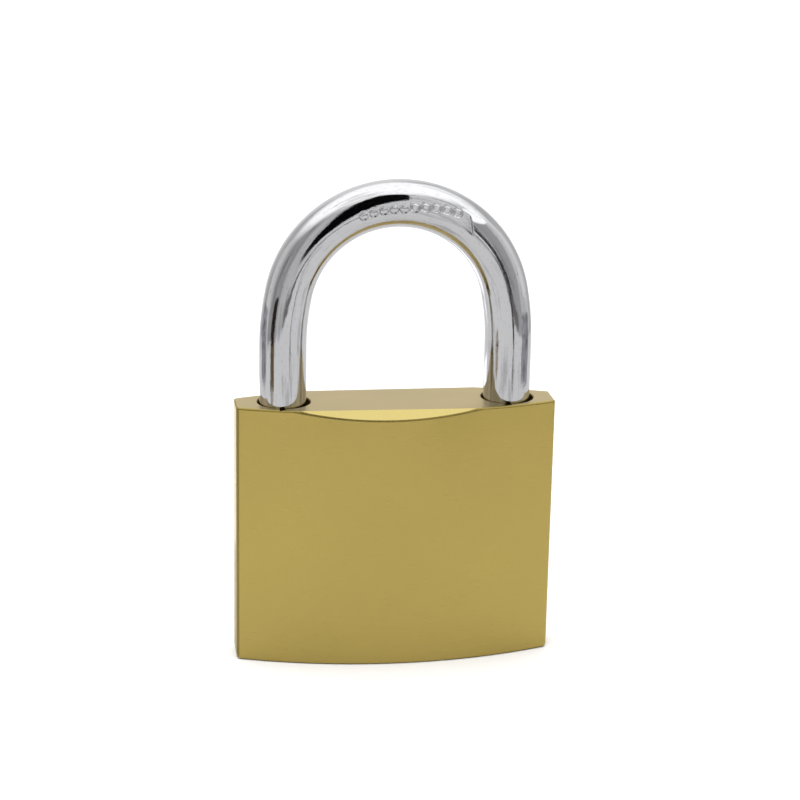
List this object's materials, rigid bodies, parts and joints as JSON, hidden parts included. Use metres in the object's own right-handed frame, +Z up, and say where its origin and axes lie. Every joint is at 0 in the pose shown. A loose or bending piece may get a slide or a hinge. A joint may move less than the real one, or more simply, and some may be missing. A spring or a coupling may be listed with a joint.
{
  "type": "padlock",
  "caption": "Solid brass padlock with convex faces, a bevelled top edge and a round steel shackle that lifts; pin cylinder, cam and sprung latches inside.",
  "frame": {"origin": "centre of the footprint, at the bottom face that the lock stands on", "axes": "+Z up along the shackle legs, front bevel towards -Y, heel leg at -X and toe leg at +X"},
  "size_m": [0.05, 0.0144, 0.0763],
  "materials": {
    "body_brass": "satin, fine machined",
    "shackle_chrome": "polished, lightly streaked",
    "plug_brass": "turned",
    "pin_steel": "plain steel pin",
    "latch_steel": "hardened, ground",
    "spring_steel": "drawn wire",
    "key_pin_brass": "turned",
    "driver_brass": "turned"
  },
  "bodies": {
    "lock_body": {"lock_body": "body_brass", "shackle_stop_pin": "pin_steel", "plug_retaining_pin": "pin_steel", "cross_bore_plug": "body_brass", "chamber_plug_1": "body_brass", "chamber_plug_2": "body_brass", "chamber_plug_3": "body_brass", "chamber_plug_4": "body_brass", "chamber_plug_5": "body_brass", "shackle_spring": "spring_steel", "pin_spring_1": "spring_steel", "pin_spring_2": "spring_steel", "pin_spring_3": "spring_steel", "pin_spring_4": "spring_steel", "pin_spring_5": "spring_steel"},
    "shackle": {"shackle": "shackle_chrome"},
    "plug": {"cylinder_plug": "plug_brass", "cam_disc": "plug_brass", "drive_pin_toe": "pin_steel", "drive_pin_heel": "pin_steel"},
    "toe_latch": {"toe_latch": "latch_steel", "toe_latch_spring": "spring_steel"},
    "heel_latch": {"heel_latch": "latch_steel", "heel_latch_spring": "spring_steel"},
    "key_pin_1": {"key_pin_1": "key_pin_brass"},
    "key_pin_2": {"key_pin_2": "key_pin_brass"},
    "key_pin_3": {"key_pin_3": "key_pin_brass"},
    "key_pin_4": {"key_pin_4": "key_pin_brass"},
    "key_pin_5": {"key_pin_5": "key_pin_brass"},
    "driver_pin_1": {"driver_pin_1": "driver_brass"},
    "driver_pin_2": {"driver_pin_2": "driver_brass"},
    "driver_pin_3": {"driver_pin_3": "driver_brass"},
    "driver_pin_4": {"driver_pin_4": "driver_brass"},
    "driver_pin_5": {"driver_pin_5": "driver_brass"}
  },
  "joints": [
    {"name": "shackle_lift", "type": "slide", "parent": "lock_body", "child": "shackle", "axis": [0, 0, 1], "range_m": [0, 0.0145], "deforming": ["shackle_spring"]},
    {"name": "plug_turn", "type": "hinge", "parent": "lock_body", "child": "plug", "pos_m": [0, 0, 0.0126], "axis": [0, 0, 1], "range_deg": [-90, 0]},
    {"name": "toe_latch_slide", "type": "slide", "parent": "lock_body", "child": "toe_latch", "axis": [1, 0, 0], "range_m": [0, 0.0022], "deforming": ["toe_latch_spring"]},
    {"name": "heel_latch_slide", "type": "slide", "parent": "lock_body", "child": "heel_latch", "axis": [-1, 0, 0], "range_m": [0, 0.0022], "deforming": ["heel_latch_spring"]},
    {"name": "key_pin_1_slide", "type": "slide", "parent": "plug", "child": "key_pin_1", "axis": [0, -1, 0], "range_m": [0, 0.00135]},
    {"name": "key_pin_2_slide", "type": "slide", "parent": "plug", "child": "key_pin_2", "axis": [0, -1, 0], "range_m": [0, 0.00065]},
    {"name": "key_pin_3_slide", "type": "slide", "parent": "plug", "child": "key_pin_3", "axis": [0, -1, 0], "range_m": [0, 0.001]},
    {"name": "key_pin_4_slide", "type": "slide", "parent": "plug", "child": "key_pin_4", "axis": [0, -1, 0], "range_m": [0, 0.0003]},
    {"name": "key_pin_5_slide", "type": "slide", "parent": "plug", "child": "key_pin_5", "axis": [0, -1, 0], "range_m": [0, 0.00135]},
    {"name": "driver_pin_1_slide", "type": "slide", "parent": "lock_body", "child": "driver_pin_1", "axis": [1, 0, 0], "range_m": [0, 0.002], "stiffness_N_per_m": 120, "springref_m": -0.002, "deforming": ["pin_spring_1"]},
    {"name": "driver_pin_2_slide", "type": "slide", "parent": "lock_body", "child": "driver_pin_2", "axis": [1, 0, 0], "range_m": [0, 0.002], "stiffness_N_per_m": 120, "springref_m": -0.002, "deforming": ["pin_spring_2"]},
    {"name": "driver_pin_3_slide", "type": "slide", "parent": "lock_body", "child": "driver_pin_3", "axis": [1, 0, 0], "range_m": [0, 0.002], "stiffness_N_per_m": 120, "springref_m": -0.002, "deforming": ["pin_spring_3"]},
    {"name": "driver_pin_4_slide", "type": "slide", "parent": "lock_body", "child": "driver_pin_4", "axis": [1, 0, 0], "range_m": [0, 0.002], "stiffness_N_per_m": 120, "springref_m": -0.002, "deforming": ["pin_spring_4"]},
    {"name": "driver_pin_5_slide", "type": "slide", "parent": "lock_body", "child": "driver_pin_5", "axis": [1, 0, 0], "range_m": [0, 0.002], "stiffness_N_per_m": 120, "springref_m": -0.002, "deforming": ["pin_spring_5"]}
  ],
  "couplings": [
    {"joint": "toe_latch_slide", "follows": "plug_turn", "m_per_rad": -0.0014006},
    {"joint": "heel_latch_slide", "follows": "plug_turn", "m_per_rad": -0.0014006}
  ]
}
